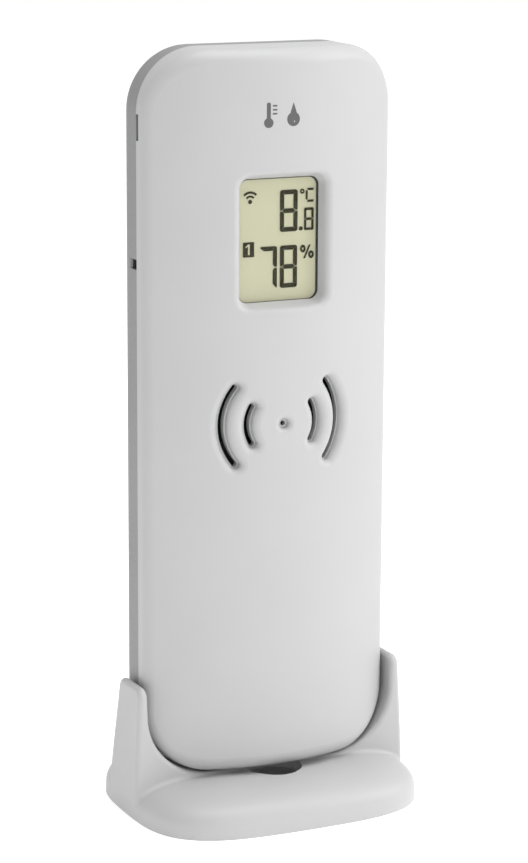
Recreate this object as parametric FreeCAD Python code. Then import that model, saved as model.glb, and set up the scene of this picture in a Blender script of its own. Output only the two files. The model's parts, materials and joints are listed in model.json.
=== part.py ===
"""Outdoor temperature and humidity sensor standing in its table stand.

Millimetres. +Z is up, the display faces -Y, and +X is to the right of someone who reads it.
The origin is on the upright centre line of the case, on the surface that the stand rests on.
Each make_ function makes one physical piece, or one group of identical pieces.
"""
import FreeCAD
import Part
import math
import os

from FreeCAD import Vector

# ---- stand ----
FOOT_HALF_X = 29.4
FOOT_HALF_Y = 23.7
FOOT_MID_Y = 0.6                 # the foot reaches a little further back than forwards
FOOT_HEIGHT = 7.7
FOOT_OUTLINE_POWER = 3.35        # power of the superelliptic outline seen from above
FOOT_PROFILE_POWER = 4.0         # power of the dome's profile seen from the side
FOOT_LEVELS = (0.0, 0.25, 0.45, 0.6, 0.72, 0.82, 0.9, 0.95, 0.98, 0.993, 0.998)
FOOT_OUTLINE_POINTS = 40
FOOT_WALL = 2.2
ARM_TOP_Z = 26.5
ARM_OUTER_SIDE = ((28.4, 26.5), (28.7, 20.0), (29.05, 13.5), (29.3, 8.0), (29.4, 4.2), (29.2, 1.6))
ARM_FRONT_Y = (-5.1, -4.7)       # at the foot and at the top
ARM_BACK_Y = (9.3, 5.8)
ARM_TOP_ROUND = 2.0
ARM_EDGE_ROUND = 0.9             # along the outer edges of the arms
ARM_INNER_ROUND = 0.9            # along the edges of the cut-out
CREASE_ROUND = 0.9               # where the arms grow out of the foot
CRADLE_GAP = 0.45                 # between the case and the arms, at the rounded corners
CRADLE_MOUTH_HALF_X = 26.7       # the cut-out opens slightly towards the arm tops
STAND_HOLE_RADIUS = 5.55
STAND_HOLE_Y = -6.0
LIFT_GAP = 0.3                   # under the sensor, which lifts out of the stand
RIB_PLACES = (1.6, 5.4)          # two ribs on the cradle floor, where they start in Y
RIB_WIDTH = 1.0
RIB_HALF_X = 12.0

# ---- case of the sensor ----
CASE_HALF_X = 26.0
CASE_BOTTOM_Z = 8.5
CASE_TOP_Z = 150.0
CASE_CORNER = 12.2
FRONT_Y = -10.0
SEAM_Y = 1.6                     # where the front and back covers meet
BACK_Y = 9.6
FACE_RADIUS = 46.0               # the front face is a slice of an upright cylinder
WALL = 1.8
FRONT_EDGE_ROUND = 3.0
BACK_EDGE_ROUND = 4.0
TONGUE_HEIGHT = 1.0              # rib of the front cover that enters the back cover
TONGUE_THICKNESS = 0.8
TONGUE_GAP = 0.1
NOTCH_Z = (132.6, 137.6)         # prying notch in the front cover's left rim
NOTCH_Y = 0.5
NOTCH_DEPTH = 0.95
SIDE_SLOT_Z = 108.9              # air slot in each side of the back cover
SIDE_SLOT_HALF_Z = 1.0
SIDE_SLOT_LENGTH = 3.2
SIDE_SLOT_OPEN = 1.5             # length of the part that goes right through the wall
SIDE_SLOT_DEPTH = 2.4

# ---- display ----
WINDOW_Z = 113.4
WINDOW_HALF_X = 8.4
WINDOW_HALF_Z = 11.9
WINDOW_CORNER = 1.8
WINDOW_RIM_HALF_X = 9.9
WINDOW_RIM_HALF_Z = 13.2
WINDOW_RIM_CORNER = 2.8
WINDOW_RIM_Y = -10.6
WINDOW_RIM_ROUND = 1.3
COLLAR_WALL = 3.0
COLLAR_END_Y = -5.4
LENS_FRONT_Y = -6.44
LENS_THICKNESS = 0.6
LENS_MARGIN = 1.1
LENS_FIT = 0.1
PANEL_FRONT_Y = -5.8
PANEL_THICKNESS = 1.8
PANEL_MARGIN = 0.9
REFLECTOR_THICKNESS = 0.2
STRIP_HALF_X = 8.0
STRIP_Z = 11.6
STRIP_WIDTH = 1.2
STRIP_GAP = 0.1
PANEL_STEP = 0.7                 # the back glass reaches this far past the front glass
REFLECTOR_INSET = 0.4
REFLECTOR_END_GAP = 0.3
FRAME_FRONT_Y = -5.3
FRAME_GAP = 0.2
FRAME_FLOOR_GAP = 0.1

# ---- vents and indicator hole ----
WAVE_Z = 78.0
WAVE_RADII = (7.2, 12.18)        # centre lines of the inner and outer grooves
WAVE_HALF_ANGLES = (30.5, 38.2)
GROOVE_HALF_WIDTH = 0.8
GROOVE_DEPTH = 1.7
GROOVE_RIM_ROUND = 1.5
SLOT_HALF_WIDTH = 0.55
BACKING_DEPTH = 3.0
BACKING_MARGIN = 1.45
DIMPLE_RADIUS = 0.95
DIMPLE_DEPTH = 1.2
DIMPLE_ROUND = 1.1
DIMPLE_BACKING = 1.2
PINHOLE_RADIUS = 0.5

# ---- electronics ----
BOARD_FRONT_Y = -2.6
BOARD_THICKNESS = 1.2
BOARD_HALF_X = 17.0
BOARD_Z = (74.0, 132.0)
BOARD_CORNER = 1.5
BOARD_SCREW_X = 14.3
BOARD_SCREW_Z = 92.0
BOARD_POST_RADIUS = 2.0
BOARD_SCREW_LENGTH = 2.4
BOARD_SCREW_HEAD_HEIGHT = 1.2
CHIP_PLACE = (-5.0, 106.0)
CHIP_HALF = 3.5
CHIP_Y = (0.1, 1.3)              # underside and top above the board
LEG_COUNT = 8                    # on each side of the chip
LEG_INSET = 0.6
LEG_HALF = 0.15
LEG_REACH = 0.9
LEG_HEIGHT = 0.35
RADIO_CARD = ((1.5, 15.0), (110.0, 128.0))
RADIO_CARD_THICKNESS = 0.8
RADIO_CAN = ((3.0, 13.5), (112.0, 122.0))
RADIO_CAN_HEIGHT = 1.8
CAN_ROUND = 0.4
ANTENNA_PLACE = (-12.0, 112.0)
ANTENNA_HEIGHT = 2.4             # of its centre line above the board
ANTENNA_RADIUS = 2.0
ANTENNA_PITCH = 1.6
ANTENNA_LENGTH = 16.0
ANTENNA_WIRE = 0.3
VENTED_CASE = ((7.0, 12.0), (75.0, 83.0))
VENTED_CASE_HEIGHT = 1.7
VENT_START = (8.5, 77.0)
VENT_STEP = 2.0
VENT_ROWS = 3
VENT_COLUMNS = 2
VENT_RADIUS = 0.5
VENT_DEPTH = 1.1
LED_BASE_RADIUS = 1.7
LED_BASE_HEIGHT = 0.8
LED_RADIUS = 1.45
LED_HEIGHT = 4.0
LED_ROUND = 1.0
CAPACITOR_PLACES = ((9.0, 98.0), (9.0, 104.0))
CAPACITOR_RADIUS = 2.2
CAPACITOR_HEIGHT = 5.4
CONTROL_Z = 81.0
CHANNEL_X = -9.0
UNIT_X = 1.0
RESET_X = 10.0
SWITCH_TOP_Y = 1.9
SWITCH_HALF = 3.0                # half width of the square switch bodies
SWITCH_LID = 0.7
BUTTON_RADIUS = 1.7
BUTTON_FLANGE = 0.4
BUTTON_GAP = 0.08
BUTTON_Y = (0.4, 0.9, 4.6)       # bottom of the flange, top of the flange, top of the button
BUTTON_CHAMBER_Y = -0.2
BUTTON_CHAMBER_GAP = 0.3
BUTTON_ROUND = 0.3
SLIDE_BODY_HALF_X = 5.0
SLIDE_BODY_HALF_Z = 2.3
SLIDE_TRAVEL = 2.0               # from the middle position to each side
SLIDE_END_GAP = 0.3
SLIDE_SIDE_GAP = 0.1
SLIDE_CHAMBER_Y = -0.6
SLIDE_CHAMBER_HALF_Z = 1.7
SLIDER_BOTTOM_Y = -0.3
SLIDER_FOOT = (2.0, 0.9, 1.4)    # half X, top Y and half Z
SLIDER_STEM = (1.1, 0.9)         # half X and half Z
SLIDER_KNOB = (1.5, 2.0)         # half X and half Z
SLIDER_KNOB_Y = (3.3, 4.5)
SLIDER_RIDGE_STEPS = (-0.9, 0.0, 0.9)
SLIDER_RIDGE_HALF = 0.2
SLIDER_RIDGE_TOP_Y = 4.8
SLIDER_SLOT_GAP = 0.3

# ---- batteries ----
CELL_RADIUS = 7.1
CELL_LENGTH = 50.5
CELL_NUB_RADIUS = 2.75
CELL_NUB_HEIGHT = 1.2
CELL_X = 7.6
CELL_Y = 0.9
BAY_Z = (12.6, 67.4)
BAY_HALF_X = 14.9
BAY_WALL = 0.8
CELL_PLAY = 0.2
CELL_ROUND = 0.5
CONTACT_HALF = 3.5
CONTACT_THICKNESS = 0.4
CONTACT_GAP = 0.05
SPRING_RADIUS = 2.6
SPRING_WIRE = 0.45
SPRING_TURNS = 2
CONTROL_BAY_TOP_Z = 90.4
CONTROL_FLOOR_Y = 3.0
CONTROL_FLOOR_THICKNESS = 1.0
DOOR_HALF_X = 16.0
DOOR_Z = (11.7, 91.6)
DOOR_CORNER = 2.0
DOOR_THICKNESS = 1.1
DOOR_GAP = 0.3
DOOR_LEDGE_Y = 7.0
LEDGE_MARGIN = 1.2
DOOR_EDGE_ROUND = 0.25
GRIP_Z = 83.5
GRIP_RADIUS = 6.5
GRIP_DEPTH = 0.6
GRIP_RIDGES = (-3.6, -1.2, 1.2, 3.6)
GRIP_RIDGE_HALF = 0.35
DOOR_LUG_X = (13.2, 14.5)
DOOR_LUG_Z = (22.0, 60.0)
DOOR_LUG_LENGTH = 6.0
DOOR_LUG_Y = 7.0

# ---- fasteners and wall hook ----
SCREW_PLACES = ((17.5, 141.5), (19.2, 24.0))
POST_RADIUS = 2.2
BOSS_RADIUS = 2.9
BOSS_END_Y = 3.2
POST_GAP = 0.1
SCREW_HEAD_RADIUS = 1.9
SCREW_HEAD_HEIGHT = 1.5
SCREW_HEAD_GAP = 0.2
SCREW_SEAT_Y = 7.0
SCREW_END_Y = -1.0
SCREW_HEAD_ROUND = 0.5
SCREW_TIP_CHAMFER = 0.3
PILOT_EXTRA = 0.3                # depth of a pilot hole beyond the screw
SCREW_SHANK_RADIUS = 1.0
SCREW_PILOT_GAP = 0.05
SCREW_HOLE_GAP = 0.2
CROSS_HALF = 0.3
CROSS_REACH = 1.3
CROSS_DEPTH = 0.8
HOOK_Z = 138.0
HOOK_RADIUS = 3.2
HOOK_SLOT_HALF = 1.6
HOOK_SLOT_TOP_Z = 144.0
HOOK_POCKET_HALF_X = 5.4
HOOK_POCKET_Z = (133.4, 147.4)
HOOK_POCKET_FRONT_Y = 4.2
HOOK_POCKET_WALL = 1.0

FACE_AXIS_Y = FRONT_Y + FACE_RADIUS
CASE_MID_Z = (CASE_BOTTOM_Z + CASE_TOP_Z) / 2
CASE_HALF_Z = (CASE_TOP_Z - CASE_BOTTOM_Z) / 2
BOARD_BACK_Y = BOARD_FRONT_Y + BOARD_THICKNESS
FAR = 60.0
OVERRUN = 1.0                    # how far a cutting solid reaches past the surface that it cuts
OVERLAP = 0.1                    # how far solids that are joined reach into each other
TOLERANCE = 0.01


def box(x0, x1, y0, y1, z0, z1):
    return Part.makeBox(x1 - x0, y1 - y0, z1 - z0, Vector(x0, y0, z0))


def rod_y(radius, x, z, y0, y1):
    """A cylinder along Y."""
    return Part.makeCylinder(radius, y1 - y0, Vector(x, y0, z), Vector(0, 1, 0))


def rounded_outline(half_x, half_z, corner, y, mid_z, mid_x=0.0):
    """A closed rounded rectangle in the plane Y = y."""
    edges = []
    inner_x = half_x - corner
    inner_z = half_z - corner
    turns = ((1, 1, 0), (-1, 1, 90), (-1, -1, 180), (1, -1, 270))
    corners = []
    for side_x, side_z, start in turns:
        centre = Vector(mid_x + side_x * inner_x, y, mid_z + side_z * inner_z)
        points = []
        for angle in (start, start + 45, start + 90):
            turn = math.radians(angle)
            points.append(centre + Vector(corner * math.cos(turn), 0, corner * math.sin(turn)))
        corners.append(points)
    for index, points in enumerate(corners):
        edges.append(Part.Arc(*points).toShape())
        following = corners[(index + 1) % len(corners)]
        edges.append(Part.LineSegment(points[2], following[0]).toShape())
    return Part.Wire(edges)


def slab(half_x, half_z, corner, y0, y1, mid_z, mid_x=0.0):
    """A rounded rectangle extruded from Y = y0 to Y = y1."""
    face = Part.Face(rounded_outline(half_x, half_z, corner, y0, mid_z, mid_x))
    return face.extrude(Vector(0, y1 - y0, 0))


def face_cylinder(depth):
    """The upright cylinder whose surface lies a given depth behind the front face."""
    return Part.makeCylinder(FACE_RADIUS - depth, 4 * FAR, Vector(0, FACE_AXIS_Y, -FAR))


def case_slab(inset, y0, y1):
    half_x = CASE_HALF_X - inset
    half_z = CASE_HALF_Z - inset
    return slab(half_x, half_z, CASE_CORNER - inset, y0, y1, CASE_MID_Z)


def edges_in_plane_y(shape, y):
    found = []
    for edge in shape.Edges:
        span = edge.BoundBox
        if abs(span.YMin - y) < TOLERANCE and abs(span.YMax - y) < TOLERANCE:
            found.append(edge)
    return found


def on_front_face(edge):
    """True for an edge that lies all along the curved front face."""
    first, last = edge.ParameterRange
    for portion in (0.0, 0.25, 0.5, 0.75, 1.0):
        point = edge.valueAt(first + (last - first) * portion)
        reach = math.hypot(point.x, point.y - FACE_AXIS_Y)
        if abs(reach - FACE_RADIUS) > TOLERANCE:
            return False
    return True


def groove_prism(radius, half_angle, half_width, side):
    """A ring sector with round ends about the wave centre, extruded along Y."""
    def place(reach, angle):
        turn = math.radians(angle)
        return Vector(side * reach * math.cos(turn), -FAR, WAVE_Z + reach * math.sin(turn))

    outer = radius + half_width
    inner = radius - half_width
    tip = math.degrees(half_width / radius)
    edges = []
    edges.append(Part.Arc(place(outer, -half_angle), place(outer, 0), place(outer, half_angle)).toShape())
    edges.append(Part.Arc(place(outer, half_angle), place(radius, half_angle + tip),
                          place(inner, half_angle)).toShape())
    edges.append(Part.Arc(place(inner, half_angle), place(inner, 0), place(inner, -half_angle)).toShape())
    edges.append(Part.Arc(place(inner, -half_angle), place(radius, -half_angle - tip),
                          place(outer, -half_angle)).toShape())
    return Part.Face(Part.Wire(edges)).extrude(Vector(0, 2 * FAR, 0))


def waves():
    """The four grooves: side, centre-line radius and half angle of each."""
    found = []
    for side in (-1, 1):
        for radius, half_angle in zip(WAVE_RADII, WAVE_HALF_ANGLES):
            found.append((side, radius, half_angle))
    return found


def make_front_cover():
    shell = case_slab(0, FRONT_Y - OVERRUN, SEAM_Y).common(face_cylinder(0))
    rim = [edge for edge in shell.Edges if on_front_face(edge)]
    shell = shell.makeFillet(FRONT_EDGE_ROUND, rim)
    shell = shell.cut(case_slab(WALL, FRONT_Y, SEAM_Y + OVERRUN).common(face_cylinder(WALL)))
    tongue = case_slab(WALL - TONGUE_THICKNESS, SEAM_Y - TONGUE_HEIGHT, SEAM_Y + TONGUE_HEIGHT)
    shell = shell.fuse(tongue.cut(case_slab(WALL, SEAM_Y - 2 * TONGUE_HEIGHT, SEAM_Y + 2 * TONGUE_HEIGHT)))

    # collar round the display, and thicker wall behind the grooves and the indicator hole
    within = face_cylinder(WALL / 3)
    collar = slab(WINDOW_HALF_X + COLLAR_WALL, WINDOW_HALF_Z + COLLAR_WALL, COLLAR_WALL,
                  FRONT_Y, COLLAR_END_Y, WINDOW_Z)
    added = [collar.common(within)]
    backing = within.cut(face_cylinder(BACKING_DEPTH))
    for side, radius, half_angle in waves():
        patch = groove_prism(radius, half_angle, GROOVE_HALF_WIDTH + BACKING_MARGIN, side)
        patch = patch.common(box(-FAR, FAR, FRONT_Y, 0, 0, 2 * FAR))
        added.append(patch.common(backing))
    disc = rod_y(DIMPLE_RADIUS + BACKING_MARGIN, 0, WAVE_Z, FRONT_Y,
                 FRONT_Y + DIMPLE_DEPTH + DIMPLE_BACKING)
    added.append(disc.common(within))

    # posts for the case screws and for the circuit board
    for side in (-1, 1):
        for x, z in SCREW_PLACES:
            added.append(rod_y(POST_RADIUS, side * x, z, FRONT_Y, BOSS_END_Y - POST_GAP).common(within))
        post = rod_y(BOARD_POST_RADIUS, side * BOARD_SCREW_X, BOARD_SCREW_Z, FRONT_Y, BOARD_FRONT_Y)
        added.append(post.common(within))
    shell = shell.fuse(added).removeSplitter()

    # openings
    glass_line = rounded_outline(WINDOW_HALF_X, WINDOW_HALF_Z, WINDOW_CORNER, LENS_FRONT_Y, WINDOW_Z)
    rim_line = rounded_outline(WINDOW_RIM_HALF_X, WINDOW_RIM_HALF_Z, WINDOW_RIM_CORNER,
                               WINDOW_RIM_Y, WINDOW_Z)
    cuts = [Part.makeLoft([glass_line, rim_line], True, True)]
    cuts.append(slab(WINDOW_HALF_X + LENS_MARGIN + LENS_FIT, WINDOW_HALF_Z + LENS_MARGIN + LENS_FIT,
                     WINDOW_CORNER, LENS_FRONT_Y, 0, WINDOW_Z))
    for side, radius, half_angle in waves():
        groove = groove_prism(radius, half_angle, GROOVE_HALF_WIDTH, side)
        cuts.append(groove.common(box(-FAR, FAR, -FAR, 0, 0, 2 * FAR)).cut(face_cylinder(GROOVE_DEPTH)))
    cuts.append(rod_y(DIMPLE_RADIUS, 0, WAVE_Z, FRONT_Y - OVERRUN, FRONT_Y + DIMPLE_DEPTH))
    shell = shell.cut(cuts)

    # soft rims of the window, the grooves and the dimple
    window = []
    grooves = []
    dimple = []
    for edge in shell.Edges:
        if not on_front_face(edge):
            continue
        span = edge.BoundBox
        height = (span.ZMin + span.ZMax) / 2
        across = max(abs(span.XMin), abs(span.XMax))
        if abs(height - WINDOW_Z) < WINDOW_HALF_Z + COLLAR_WALL and across < WINDOW_HALF_X + COLLAR_WALL:
            window.append(edge)
        elif abs(height - WAVE_Z) < WAVE_RADII[1] and across < DIMPLE_RADIUS + BACKING_MARGIN:
            dimple.append(edge)
        elif abs(height - WAVE_Z) < WAVE_RADII[1] and across < WAVE_RADII[1] + COLLAR_WALL:
            grooves.append(edge)
    shell = shell.makeFillet(WINDOW_RIM_ROUND, window)
    shell = shell.makeFillet(GROOVE_RIM_ROUND, [match(shell, edge) for edge in grooves])
    shell = shell.makeFillet(DIMPLE_ROUND, [match(shell, edge) for edge in dimple])

    # slots through the groove floors, pin hole, screw pilots, gaps at the air slots and the notch
    cuts = [rod_y(PINHOLE_RADIUS, 0, WAVE_Z, FRONT_Y, 0)]
    for side, radius, half_angle in waves():
        slot = groove_prism(radius, half_angle, SLOT_HALF_WIDTH, side)
        cuts.append(slot.common(box(-FAR, FAR, -FAR, BOARD_FRONT_Y, 0, 2 * FAR)))
    for side in (-1, 1):
        for x, z in SCREW_PLACES:
            cuts.append(rod_y(SCREW_SHANK_RADIUS + SCREW_PILOT_GAP, side * x, z,
                              SCREW_END_Y - PILOT_EXTRA, BOSS_END_Y))
        cuts.append(rod_y(SCREW_SHANK_RADIUS + SCREW_PILOT_GAP, side * BOARD_SCREW_X, BOARD_SCREW_Z,
                          BOARD_BACK_Y - BOARD_SCREW_LENGTH - PILOT_EXTRA, 0))
        x0, x1 = sorted((side * CASE_HALF_X, side * (CASE_HALF_X - SIDE_SLOT_DEPTH)))
        half_z = SIDE_SLOT_HALF_Z + TONGUE_GAP
        cuts.append(box(x0, x1, SEAM_Y, SEAM_Y + 2 * TONGUE_HEIGHT,
                        SIDE_SLOT_Z - half_z, SIDE_SLOT_Z + half_z))
    cuts.append(box(-CASE_HALF_X - OVERRUN, -CASE_HALF_X + NOTCH_DEPTH, NOTCH_Y, SEAM_Y + OVERRUN,
                    NOTCH_Z[0], NOTCH_Z[1]))
    return shell.cut(cuts)


def make_back_cover():
    shell = case_slab(0, SEAM_Y, BACK_Y)
    shell = shell.makeFillet(BACK_EDGE_ROUND, edges_in_plane_y(shell, BACK_Y))
    shell = shell.cut(case_slab(WALL, SEAM_Y - OVERRUN, BACK_Y - WALL))
    shell = shell.cut(case_slab(WALL - TONGUE_THICKNESS - TONGUE_GAP, SEAM_Y - OVERRUN,
                                SEAM_Y + TONGUE_HEIGHT + TONGUE_GAP))

    # battery bay, control bay, door ledge, screw bosses and wall hook pocket
    within = BACK_Y - WALL / 2
    outer_x = BAY_HALF_X + BAY_WALL
    added = [box(-outer_x, outer_x, CELL_Y, within, BAY_Z[0] - BAY_WALL, BAY_Z[1] + BAY_WALL)]
    tube = CELL_RADIUS + CELL_PLAY + BAY_WALL
    for side in (-1, 1):
        added.append(Part.makeCylinder(tube, BAY_Z[1] - BAY_Z[0] + 2 * BAY_WALL,
                                       Vector(side * CELL_X, CELL_Y, BAY_Z[0] - BAY_WALL)))
    added.append(box(-outer_x, outer_x, CONTROL_FLOOR_Y - CONTROL_FLOOR_THICKNESS, within,
                     BAY_Z[1], CONTROL_BAY_TOP_Z + BAY_WALL))
    ledge_z = (DOOR_Z[0] + DOOR_Z[1]) / 2
    ledge_half_z = (DOOR_Z[1] - DOOR_Z[0]) / 2 + LEDGE_MARGIN
    added.append(slab(DOOR_HALF_X + LEDGE_MARGIN, ledge_half_z, DOOR_CORNER + LEDGE_MARGIN,
                      DOOR_LEDGE_Y, within, ledge_z))
    for side in (-1, 1):
        for x, z in SCREW_PLACES:
            added.append(rod_y(BOSS_RADIUS, side * x, z, BOSS_END_Y, within))
    pocket = box(-HOOK_POCKET_HALF_X, HOOK_POCKET_HALF_X, HOOK_POCKET_FRONT_Y, within,
                 HOOK_POCKET_Z[0], HOOK_POCKET_Z[1])
    added.append(pocket)
    shell = shell.fuse(added).removeSplitter()

    cuts = [box(-BAY_HALF_X, BAY_HALF_X, CELL_Y, BACK_Y + OVERRUN, BAY_Z[0], BAY_Z[1])]
    for side in (-1, 1):
        cuts.append(Part.makeCylinder(CELL_RADIUS + CELL_PLAY, BAY_Z[1] - BAY_Z[0],
                                      Vector(side * CELL_X, CELL_Y, BAY_Z[0])))
    cuts.append(box(-BAY_HALF_X, BAY_HALF_X, CONTROL_FLOOR_Y, BACK_Y + OVERRUN,
                    BAY_Z[1] + 2 * BAY_WALL, CONTROL_BAY_TOP_Z))
    cuts.append(slab(DOOR_HALF_X + DOOR_GAP, (DOOR_Z[1] - DOOR_Z[0]) / 2 + DOOR_GAP,
                     DOOR_CORNER + DOOR_GAP, BACK_Y - DOOR_THICKNESS - DOOR_GAP, BACK_Y + OVERRUN, ledge_z))
    for x in (UNIT_X, RESET_X):
        cuts.append(rod_y(BUTTON_RADIUS + BUTTON_GAP, x, CONTROL_Z, 0, CONTROL_FLOOR_Y + OVERRUN))
    slot_half_x = SLIDE_TRAVEL + SLIDER_STEM[0] + SLIDE_END_GAP
    slot_half_z = SLIDER_STEM[1] + SLIDER_SLOT_GAP
    cuts.append(box(CHANNEL_X - slot_half_x, CHANNEL_X + slot_half_x, 0, CONTROL_FLOOR_Y + OVERRUN,
                    CONTROL_Z - slot_half_z, CONTROL_Z + slot_half_z))
    for side in (-1, 1):
        for x, z in SCREW_PLACES:
            cuts.append(rod_y(SCREW_SHANK_RADIUS + SCREW_HOLE_GAP, side * x, z, 0, BACK_Y))
            cuts.append(rod_y(SCREW_HEAD_RADIUS + SCREW_HEAD_GAP, side * x, z,
                              SCREW_SEAT_Y, BACK_Y + OVERRUN))
        cuts.append(side_slot(side))
    cuts.append(box(-HOOK_POCKET_HALF_X + HOOK_POCKET_WALL, HOOK_POCKET_HALF_X - HOOK_POCKET_WALL,
                    HOOK_POCKET_FRONT_Y + HOOK_POCKET_WALL, BACK_Y - WALL,
                    HOOK_POCKET_Z[0] + HOOK_POCKET_WALL, HOOK_POCKET_Z[1] - HOOK_POCKET_WALL))
    inside = BACK_Y - WALL - OVERRUN
    outside = BACK_Y + OVERRUN
    cuts.append(rod_y(HOOK_RADIUS, 0, HOOK_Z, inside, outside))
    cuts.append(box(-HOOK_SLOT_HALF, HOOK_SLOT_HALF, inside, outside, HOOK_Z, HOOK_SLOT_TOP_Z))
    cuts.append(rod_y(HOOK_SLOT_HALF, 0, HOOK_SLOT_TOP_Z, inside, outside))
    return shell.cut(cuts)


def side_slot(side):
    """A slot that goes through the wall at the seam and runs out towards the back."""
    surface = side * CASE_HALF_X
    outside = side * (CASE_HALF_X + OVERRUN)
    deep = side * (CASE_HALF_X - SIDE_SLOT_DEPTH)
    low = SIDE_SLOT_Z - SIDE_SLOT_HALF_Z
    points = [(outside, SEAM_Y - OVERRUN), (deep, SEAM_Y - OVERRUN), (deep, SEAM_Y + SIDE_SLOT_OPEN),
              (surface, SEAM_Y + SIDE_SLOT_LENGTH), (outside, SEAM_Y + SIDE_SLOT_LENGTH)]
    points.append(points[0])
    outline = Part.makePolygon([Vector(x, y, low) for x, y in points])
    return Part.Face(outline).extrude(Vector(0, 0, 2 * SIDE_SLOT_HALF_Z))


def make_battery_door():
    mid_z = (DOOR_Z[0] + DOOR_Z[1]) / 2
    half_z = (DOOR_Z[1] - DOOR_Z[0]) / 2
    door = slab(DOOR_HALF_X, half_z, DOOR_CORNER, BACK_Y - DOOR_THICKNESS, BACK_Y, mid_z)
    door = door.makeFillet(DOOR_EDGE_ROUND, edges_in_plane_y(door, BACK_Y))
    door = door.cut(rod_y(GRIP_RADIUS, 0, GRIP_Z, BACK_Y - GRIP_DEPTH, BACK_Y + OVERRUN))
    ridges = []
    for step in GRIP_RIDGES:
        reach = math.sqrt(GRIP_RADIUS ** 2 - step ** 2) + OVERLAP
        low = GRIP_Z + step - GRIP_RIDGE_HALF
        ridges.append(box(-reach, reach, BACK_Y - GRIP_DEPTH - OVERLAP, BACK_Y,
                          low, low + 2 * GRIP_RIDGE_HALF))
    for side in (-1, 1):
        for z in DOOR_LUG_Z:
            x0, x1 = sorted((side * DOOR_LUG_X[0], side * DOOR_LUG_X[1]))
            ridges.append(box(x0, x1, DOOR_LUG_Y, BACK_Y - DOOR_THICKNESS + OVERLAP, z, z + DOOR_LUG_LENGTH))
    return door.fuse(ridges).removeSplitter()


def make_display_lens():
    return slab(WINDOW_HALF_X + LENS_MARGIN, WINDOW_HALF_Z + LENS_MARGIN, WINDOW_CORNER,
                LENS_FRONT_Y, LENS_FRONT_Y + LENS_THICKNESS, WINDOW_Z)


def make_lcd_panel():
    half_x = WINDOW_HALF_X + PANEL_MARGIN
    half_z = WINDOW_HALF_Z + PANEL_MARGIN
    middle = PANEL_FRONT_Y + PANEL_THICKNESS / 2
    front_glass = box(-half_x, half_x, PANEL_FRONT_Y, middle,
                      WINDOW_Z - half_z + PANEL_STEP, WINDOW_Z + half_z - PANEL_STEP)
    back_glass = box(-half_x, half_x, middle, PANEL_FRONT_Y + PANEL_THICKNESS,
                     WINDOW_Z - half_z, WINDOW_Z + half_z)
    return front_glass.fuse(back_glass)


def make_lcd_reflector():
    back = PANEL_FRONT_Y + PANEL_THICKNESS
    half_x = WINDOW_HALF_X + PANEL_MARGIN - REFLECTOR_INSET
    half_z = STRIP_Z - STRIP_WIDTH / 2 - REFLECTOR_END_GAP
    return box(-half_x, half_x, back, back + REFLECTOR_THICKNESS, WINDOW_Z - half_z, WINDOW_Z + half_z)


def make_lcd_frame():
    """Tray between the circuit board and the display glass."""
    floor = PANEL_FRONT_Y + PANEL_THICKNESS + REFLECTOR_THICKNESS + FRAME_FLOOR_GAP
    half_x = WINDOW_HALF_X + COLLAR_WALL - FRAME_GAP
    half_z = WINDOW_HALF_Z + COLLAR_WALL - FRAME_GAP
    frame = slab(half_x, half_z, COLLAR_WALL, FRAME_FRONT_Y, BOARD_FRONT_Y, WINDOW_Z)
    inner_x = WINDOW_HALF_X + PANEL_MARGIN + FRAME_GAP
    inner_z = WINDOW_HALF_Z + PANEL_MARGIN + FRAME_GAP
    frame = frame.cut(box(-inner_x, inner_x, FRAME_FRONT_Y - OVERRUN, floor,
                          WINDOW_Z - inner_z, WINDOW_Z + inner_z))
    slots = []
    for side in (-1, 1):
        middle = WINDOW_Z + side * STRIP_Z
        half = STRIP_WIDTH / 2 + STRIP_GAP
        slots.append(box(-STRIP_HALF_X - STRIP_GAP, STRIP_HALF_X + STRIP_GAP,
                         floor - OVERRUN, BOARD_FRONT_Y + OVERRUN, middle - half, middle + half))
    return frame.cut(slots)


def make_contact_strips():
    strips = []
    for side in (-1, 1):
        middle = WINDOW_Z + side * STRIP_Z
        strips.append(box(-STRIP_HALF_X, STRIP_HALF_X, PANEL_FRONT_Y + PANEL_THICKNESS, BOARD_FRONT_Y,
                          middle - STRIP_WIDTH / 2, middle + STRIP_WIDTH / 2))
    return Part.makeCompound(strips)


def make_circuit_board():
    half_z = (BOARD_Z[1] - BOARD_Z[0]) / 2
    mid_z = (BOARD_Z[1] + BOARD_Z[0]) / 2
    board = slab(BOARD_HALF_X, half_z, BOARD_CORNER, BOARD_FRONT_Y, BOARD_BACK_Y, mid_z)
    holes = []
    for side in (-1, 1):
        holes.append(rod_y(SCREW_SHANK_RADIUS + SCREW_HOLE_GAP, side * BOARD_SCREW_X, BOARD_SCREW_Z,
                           BOARD_FRONT_Y - OVERRUN, BOARD_BACK_Y + OVERRUN))
    return board.cut(holes)


def screw(x, z, seat, end, head_height):
    """A pan-head screw that is driven towards -Y, with a cross in its head."""
    top = seat + head_height
    head = rod_y(SCREW_HEAD_RADIUS, x, z, seat, top)
    head = head.makeFillet(SCREW_HEAD_ROUND, edges_in_plane_y(head, top))
    tip = rod_y(SCREW_SHANK_RADIUS, x, z, end, seat + OVERLAP)
    tip = tip.makeChamfer(SCREW_TIP_CHAMFER, edges_in_plane_y(tip, end))
    floor = top - CROSS_DEPTH
    above = top + OVERRUN
    across = box(x - CROSS_REACH, x + CROSS_REACH, floor, above, z - CROSS_HALF, z + CROSS_HALF)
    upright = box(x - CROSS_HALF, x + CROSS_HALF, floor, above, z - CROSS_REACH, z + CROSS_REACH)
    return head.fuse(tip).cut([across, upright])


def make_case_screws():
    screws = []
    for side in (-1, 1):
        for x, z in SCREW_PLACES:
            screws.append(screw(side * x, z, SCREW_SEAT_Y, SCREW_END_Y, SCREW_HEAD_HEIGHT))
    return Part.makeCompound(screws)


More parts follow.
